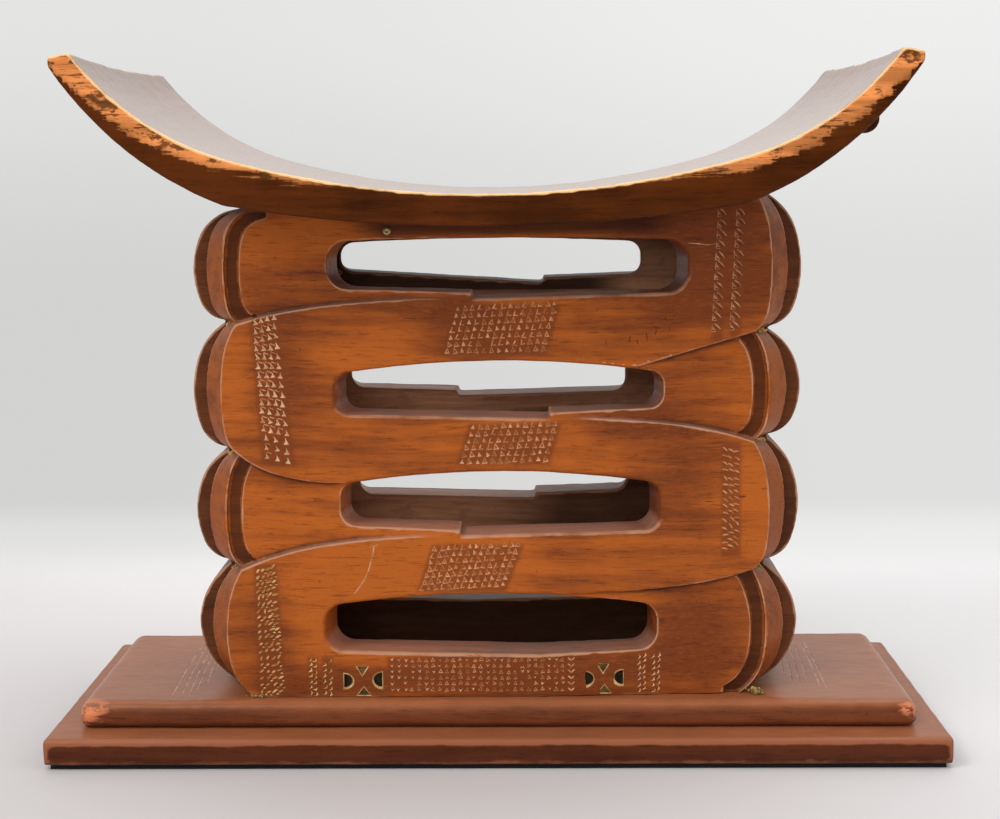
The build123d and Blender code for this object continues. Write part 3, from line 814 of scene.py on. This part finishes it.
def strip_of_chips(tool, rng):
    """Slanted strip on the upper left ribbon: rows of chips and flicks."""
    rows = 16
    for row in range(rows):
        columns = 4 if row < 11 else 3 + rng.integers(0, 2)
        for number in range(columns):
            place = cell(rng, left_strip, number, columns, row, rows, 0.2, 0.45)
            if row > 2:
                place = place - (0, 1.6 * ((number + 0.45) / columns - 0.5))
            chip(tool, place, rng.normal(0.02, 0.10), rng.uniform(0.95, 1.15))
            if number < columns - 1 and rng.random() < 0.92:
                flick = place + (1.6, 2.2) + rng.normal(0, 0.15, 2)
                dark = flick + (0.4, -1.5)
                tool.stroke(turned([(-1.5, 0.5), (1.3, -0.6)], flick, 0), 1.35, 0.6)
                tool.stroke(turned([(-0.7, 0.9), (0.6, -0.8)], dark, 0), 0.8, 0.6, shade_face)


def strips_of_flags(tool, rng):
    """Two upright strips at the top right: a slash and a corner, time after time."""
    count = 12
    for top, low in np.array(top_strips):
        for number in range(count):
            place = top + (low - top) * ((number + 0.35) / count) + rng.normal(0, 0.15, 2)
            size = rng.uniform(1.0, 1.2)
            slash = turned([(0.7, 2.4), (2.6, 0.9), (4.3, -1.0)], place, rng.normal(0, 0.08), size)
            tool.stroke(slash, 1.1, 0.6, pale_face)
            shadow = turned([(1.4, 0.9), (3.1, -1.0)], place, 0, size)
            tool.stroke(shadow, 1.5, 0.8, shade_face)
            foot = turned([(-0.5, 1.6), (-0.7, -2.2), (1.6, -2.3)], place, rng.normal(0, 0.06), size)
            tool.stroke(foot, 0.9, 0.45, pale_face)
            corner = turned([(0.4, -0.9)], place, 0, size)[0]
            chip(tool, corner, 0.1, 0.6 * size, (shade_face, pale_face, shade_face))


def dented_strip(tool, rng):
    """Crowded, little dusted strip on the lower right ribbon."""
    rows, columns = 15, 3
    for row in range(rows):
        for number in range(columns):
            place = cell(rng, right_strip, number, columns, row, rows, 0.35)
            angle = rng.normal(0.1, 0.25)
            tool.stroke(turned([(-1.6, 1.0), (0.0, 0.3), (1.4, -0.9)], place, angle), 1.1, 0.6, pale_face)
            tool.stroke(turned([(-1.2, -0.3), (1.0, -1.7)], place, angle), 1.2, 0.7, shade_face)


def slashed_strip(tool, rng):
    """Crowded strip of rising slashes on the lowest left ribbon, longer and flatter on its right."""
    rows, columns = 19, 4
    for row in range(rows):
        for number in range(columns):
            on_left = number < 2
            place = cell(rng, low_strip, number, columns, row, rows, 0.3, 0.45)
            angle = rng.normal(0.85 if on_left else 0.5, 0.25)
            length = rng.uniform(1.1, 1.6) * (1.0 if on_left else 1.3)
            line = turned([(-length, -0.1), (0, 0.15), (length, 0)], place, angle)
            tool.stroke(line, rng.uniform(1.1, 1.5), 0.6, chalk_face)
            if rng.random() < 0.6:
                corner = place + (1.5, -1.4)
                chip(tool, corner, angle - 0.4, 0.6, (chalk_face, shade_face, shade_face))


def foot_pits(tool, rng):
    """Four short strips of slanted pits in the bottom band."""
    for left, right, way in foot_strips:
        pale = chalk_face if way > 0 else dust_face
        for row in range(7):
            for side, x in enumerate((left + 1.0, right - 1.0)):
                if rng.random() < 0.07:
                    continue
                height = 61.2 - row * 3.65 - 1.1 * side * way
                place = (x, height) + rng.normal(0, 0.2, 2)
                size = rng.uniform(1.2, 1.5)
                corners = [(-0.8, -0.9), (1.0, -0.2), (0.5, 1.2), (-0.5, 0.3)]
                outline = turned(corners, place, rng.normal(0, 0.25), size)
                tool.pit(outline, tuple(place), 0.6, [pale, pale, shade_face, shade_face])


def foot_triangles(tool, rng):
    """Long patch of the bottom band: triangles that point up, and some that point down."""
    rows, columns = 6, 26
    for row in range(rows):
        for number in range(columns):
            if rng.random() < 0.05:
                continue
            place = cell(rng, foot_patch, number, columns, row, rows, 0.28)
            size = rng.uniform(0.8, 1.05)
            if number < 3 or rng.random() < 0.25:
                corners = [(-1.2, 1.0), (0.0, -1.3), (1.2, 1.1)]
                outline = turned(corners, place, rng.normal(0, 0.15), size)
                tool.pit(outline, tuple(place), 0.7 * size, [dust_face, dust_face, shade_face])
            else:
                corners = [(-1.1, -1.0), (1.15, -0.9), (0.0, 1.2)]
                outline = turned(corners, place, rng.normal(0, 0.15), size)
                width = rng.uniform(0.7, 0.95)
                tool.ring(outline, width, 0.45, dust_face if rng.random() < 0.7 else chalk_face)


def foot_arrowheads(tool):
    """Column of arrowheads at the right of the long patch."""
    for row in range(6):
        for side in (-1, 1):
            start = np.array([arrowhead_x + side * 2.1, 61.0 - row * 3.9 + 0.6])
            bend = start + (-side * 1.1, -0.9)
            end = start + (-side * 2.0, -2.0)
            tool.stroke([start, bend, end], 1.1, 0.55)


def half_round(x, low, high, reach):
    """Half round that stands on an upright line at x, anticlockwise."""
    middle, half = (low + high) / 2, (high - low) / 2
    curve = [(x + reach * cos(a), middle + half * sin(a)) for a in np.linspace(-pi / 2, pi / 2, 9)]
    return curve if reach > 0 else curve[::-1]


def cross(tool, centre):
    """Four deep notches round a plain middle: two triangles and two half rounds, pale at their rims."""
    shallow, sunken = (chalk_face, olive_face, olive_face), (chalk_face, dark_face, dark_face)
    shapes = (
        ([(-4.8, 10.1), (-0.5, 3.0), (4.0, 10.1)], 1.2, shallow, 0),
        ([(-4.6, -9.4), (5.6, -9.4), (0.5, -2.8)], 1.4, shallow, 0),
        (half_round(-12.4, -5.6, 5.8, 7.2), 3.4, sunken, -0.5),
        (half_round(12.6, -5.4, 6.8, -7.2), 3.4, sunken, 0.5),
    )
    for outline, depth, kinds, lean in shapes:
        outline = [(centre[0] + u, centre[1] + v) for u, v in outline]
        steps = (1.04, -lip), (0.76, 0.45), (0.64, depth), (0.4, depth + 0.25)
        tool.well(outline, steps, (*kinds, kinds[1]), lean)


def scratches(tool):
    """Old scratches and knocks on the front, with a starred one on the third band."""
    star = np.array([-76.0, 133.5])
    tool.stroke([star, (-77.4, 127.5), (-79.2, 120.5), (-80.6, 116.2)], 0.9, 0.3)
    tool.stroke([(-80.3, 117.0), (-83.0, 111.5), (-86.4, 106.5), (-88.8, 103.2)], 0.9, 0.3)
    for ray in np.array([(-3.6, -0.8), (-2.6, 1.0), (1.8, 1.4), (3.0, 0.1), (-1.2, -2.2), (0.3, 2.2)]):
        tool.stroke([star + ray * 0.15, star + ray], 0.6, 0.3)
    tool.stroke([(118.0, 320.6), (124.0, 320.2), (130.0, 319.4), (137.0, 320.4)], 0.6, 0.22)
    tool.stroke([(42.0, 220.8), (44.5, 219.9), (46.5, 219.0)], 0.8, 0.3)
    tool.stroke([(128.4, 161.2), (132.0, 160.9), (136.6, 161.2)], 0.6, 0.3, shade_face)
    for x, z, length, lean in flecks:
        tool.stroke([(x, z), (x + lean, z - length)], 1.1, 0.45, dark_face)
    for x, z, length in arris_chips:
        tool.stroke([(x, z), (x + length / 2, z + 0.3), (x + length, z)], 0.9, 0.35)
    tool.stroke([(52.0, 64.5), (58.0, 64.9), (66.0, 65.2)], 1.3, 0.3, glint_face)
    tool.stroke([(64.0, 65.0), (74.0, 65.9), (85.0, 66.6)], 1.7, 0.35, glint_face)
    tool.stroke([(-20.0, 62.6), (-15.0, 63.2), (-9.0, 64.2)], 1.8, 0.4, glint_face)
    tool.stroke([(-84.5, 66.0), (-82.5, 66.2), (-80.5, 65.9)], 1.6, 0.4)


def front_ornament(seed):
    """Everything that is cut into the front screen."""
    tool = Cutters("front_screen", (0, front_plane, 0), (1, 0, 0), (0, 0, 1), (0, 1, 0), seed)
    rng = np.random.default_rng(ornament_seed)
    for patch in band_patches:
        punched_triangles(tool, rng, patch)
    strip_of_chips(tool, rng)
    strips_of_flags(tool, rng)
    dented_strip(tool, rng)
    slashed_strip(tool, rng)
    foot_pits(tool, rng)
    foot_triangles(tool, rng)
    foot_arrowheads(tool)
    for centre in crosses:
        cross(tool, centre)
    scratches(tool)
    return tool


def slab_arcs(seed):
    """Rows of incised lines in the slab beside the column, bowed a little outwards."""
    tool = Cutters("foot_slab", (0, 0, slab_top), (1, 0, 0), (0, 1, 0), (0, 0, -1), seed)
    for way, arcs in ((-1, left_arcs), (1, right_arcs)):
        for start, front, back_out in arcs:
            line = []
            for t in np.linspace(0, 1, arc_points):
                out = front + (back_out - front) * t + arc_bow * t * (1 - t)
                line.append((way * out, start + (arc_end - start) * t))
            tool.stroke(line, 1.0, 0.3)
    return tool


# ------------ tacks and filler
def tack(node):
    """Domed tack with a dark dimple, in the place of a CAD tack."""
    low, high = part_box(node)
    x, z = (low.x + high.x) / 2, (low.z + high.z) / 2
    # Radius and depth in mm, from the dimple over the dome to the shank
    profile = (
        (0.5, 0.30), (0.9, 0.06), (1.3, 0.0), (1.8, 0.14), (2.25, 0.5), (2.5, 0.95), (2.6, 1.3), (0.8, 1.3)
    )
    dimple = 0.45
    turns = 32
    verts = [(x, low.y + dimple * mm, z)]
    for radius, depth in profile:
        for number in range(turns):
            angle = 2 * pi * number / turns
            verts.append((x + radius * mm * cos(angle), low.y + depth * mm, z + radius * mm * sin(angle)))
    faces = [(0, 1 + number, 1 + (number + 1) % turns) for number in range(turns)]
    for ring in range(len(profile) - 1):
        a, b = 1 + ring * turns, 1 + (ring + 1) * turns
        faces += [(a + i, b + i, b + (i + 1) % turns, a + (i + 1) % turns) for i in range(turns)]
    last = 1 + (len(profile) - 1) * turns
    end = len(verts)
    verts.append((x, high.y, z))
    faces += [(last + i, end, last + (i + 1) % turns) for i in range(turns)]
    mesh = bpy.data.meshes.new(node + "_domed")
    mesh.from_pydata(verts, [], faces)
    mesh.materials.append(tack_brass)
    piece = placed(node + "_domed", mesh)
    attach(piece, "root")
    dark = np.zeros(len(verts))
    dark[0] = 0.6
    dark[1:1 + turns] = 0.4
    put_attribute(mesh, "hollow", dark)
    mesh.shade_smooth()
    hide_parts(node)


def crumbs():
    """Yellow filler crumbs in the notches and along the joints."""
    rng = np.random.default_rng(crumb_seed)
    work = bmesh.new()
    for place, spread, count in crumb_sites:
        for _ in range(count):
            spot = (np.array(place) + rng.normal(0, 0.5, 3) * spread) * mm
            size = rng.uniform(0.35, 1.0) * mm
            squash = Matrix.Diagonal((*rng.uniform(0.7, 1.4, 3), 1))
            turn = Matrix.Rotation(rng.uniform(0, pi), 4, rng.normal(size=3))
            matrix = Matrix.Translation(spot) @ turn @ squash
            lump = bmesh.ops.create_icosphere(work, subdivisions=2, radius=size, matrix=matrix)
            for vert in lump["verts"]:
                vert.co += Vector(rng.normal(0, 0.10 * size, 3))
    mesh = bpy.data.meshes.new("filler_crumbs")
    work.to_mesh(mesh)
    work.free()
    mesh.materials.append(filler)
    piece = placed("filler_crumbs", mesh)
    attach(piece, "root")


# ------------ pieces
# Carved pieces: closeness of the mesh in mm, material, slot, zones of ornament, and where the wood is bare,
# with painted light inside the back screen
recipes = {
    "seat": (1.3, seat, "seat_wood", (), bare_faces),
    "front_screen": (0.8, column, "column_wood", stained_zones, None),
    "back_screen": (1.1, back, "column_wood", (), lit_inside),
    "left_cheek": (0.9, cheek, "column_wood", (), None),
    "right_cheek": (0.9, cheek, "column_wood", (), None),
    "foot_slab": (1.2, slab, "slab_wood", (), bare_corners),
    "plinth": (1.8, plinth, "plinth_wood", (), None),
}
# CAD nodes that only get a material
plain = {
    "felt_pad": felt("pad_felt"),
    "seat_dowels": dowel,
    "foot_dowels": dowel,
    "plinth_screws": steel("screw_steel"),
}

seeds = {node: 100 * number for number, node in enumerate(recipes)}
pieces = {}
for node, (voxel, material, slot, zones, bare_and_lit) in recipes.items():
    piece = carved(node, voxel, seeds[node], zones, bare_and_lit)
    piece.data.materials.append(material)
    pieces[node] = piece
cut(pieces["front_screen"], front_ornament(seeds["front_screen"]), cut_materials)
cut(pieces["foot_slab"], slab_arcs(seeds["foot_slab"]), [scratch_dust])
for node, material in plain.items():
    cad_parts[node].data.materials.clear()
    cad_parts[node].data.materials.append(material)
tack("front_tack")
tack("back_tack")
crumbs()


# ------------ backdrop and world
def paper():
    """Pale paper, painted lighter towards the right and the back.  Seen directly or mirrored, its wall
    glows, more at its top and foot and towards the right.  From behind it isn't seen at all, so that the
    stool's back can be looked at."""
    s = Shader("backdrop_paper")
    x, y, z = s.add("SeparateXYZ", {0: s.place}).outputs
    # Painted light: the paper is lighter towards the right and the back, where the floor is lit more
    brighter = s.ramp(s.plus(s.times(x, 0.8), y), -0.75, 0.75)
    tone = s.mix(brighter, rgb(206, 201, 200), rgb(243, 242, 242))
    sheet = s.surface(Base_Color=tone, Roughness=0.7)
    rise = s.ramp(z, 0.21, 0.56, 0.0, wall_top - wall_middle)
    fall = s.ramp(z, 0.0, 0.022, wall_foot - wall_middle, 0.0)
    across = s.ramp(x, -0.5, 0.5, wall_middle - 0.04, wall_middle + 0.05)
    level = s.plus(s.plus(rise, fall), across)
    glow = s.add("Emission", {"Color": rgb(254, 254, 253), "Strength": level}).outputs[0]
    ray = s.add("LightPath")
    seen = s.maths("MAXIMUM", ray.outputs["Is Camera Ray"], ray.outputs["Is Glossy Ray"])
    wall = s.times(seen, s.ramp(y, 0.42, 0.60))
    front = s.add("MixShader", {0: wall, 1: sheet, 2: glow}).outputs[0]
    behind = s.add("NewGeometry").outputs["Backfacing"]
    clear = s.add("BsdfTransparent").outputs[0]
    return s.finish(s.add("MixShader", {0: behind, 1: front, 2: clear}).outputs[0])


def make_backdrop():
    """Paper sweep: a floor that curves up into a wall."""
    near, start, bend, top, half_width = -4.0, 0.55, 0.55, 4.5, 6.0
    curve = [(start + bend * sin(a), bend - bend * cos(a)) for a in np.linspace(0, pi / 2, 24)]
    profile = [(near, 0.0), *curve, (start + bend, top)]
    verts = [(side, away, height) for away, height in profile for side in (-half_width, half_width)]
    faces = [(2 * i, 2 * i + 1, 2 * i + 3, 2 * i + 2) for i in range(len(profile) - 1)]
    mesh = bpy.data.meshes.new("backdrop")
    mesh.from_pydata(verts, [], faces)
    mesh.shade_smooth()
    mesh.materials.append(paper())
    sweep = placed("backdrop", mesh)


def make_world():
    """Pale surroundings, brighter where the camera sees them than where they light the stool."""
    world = bpy.data.worlds.new("studio")
    scene.world = world
    world.use_nodes = True
    nodes, links = world.node_tree.nodes, world.node_tree.links
    background = nodes["Background"]
    background.inputs["Color"].default_value = rgb(246, 246, 246)
    seen = nodes.new("ShaderNodeMapRange")
    links.new(nodes.new("ShaderNodeLightPath").outputs["Is Camera Ray"], seen.inputs["Value"])
    seen.inputs["To Min"].default_value = 0.30
    seen.inputs["To Max"].default_value = 0.80
    links.new(seen.outputs[0], background.inputs["Strength"])


place_camera()
make_backdrop()
make_world()
area_light("key", (-1.2, -1.2, 1.8), stool_middle, (1.2, 1.2), 24)
area_light("fill", (1.5, -1.1, 1.4), stool_middle, (1.2, 1.2), 8)
area_light("front", (-0.3, -1.9, 0.9), stool_middle, (1.0, 1.0), 9).visible_glossy = False
area_light("top", (0.2, 0.3, 2.3), (0, 0.1, 0), (2.0, 1.6), 24)
scene.view_settings.view_transform = "Standard"
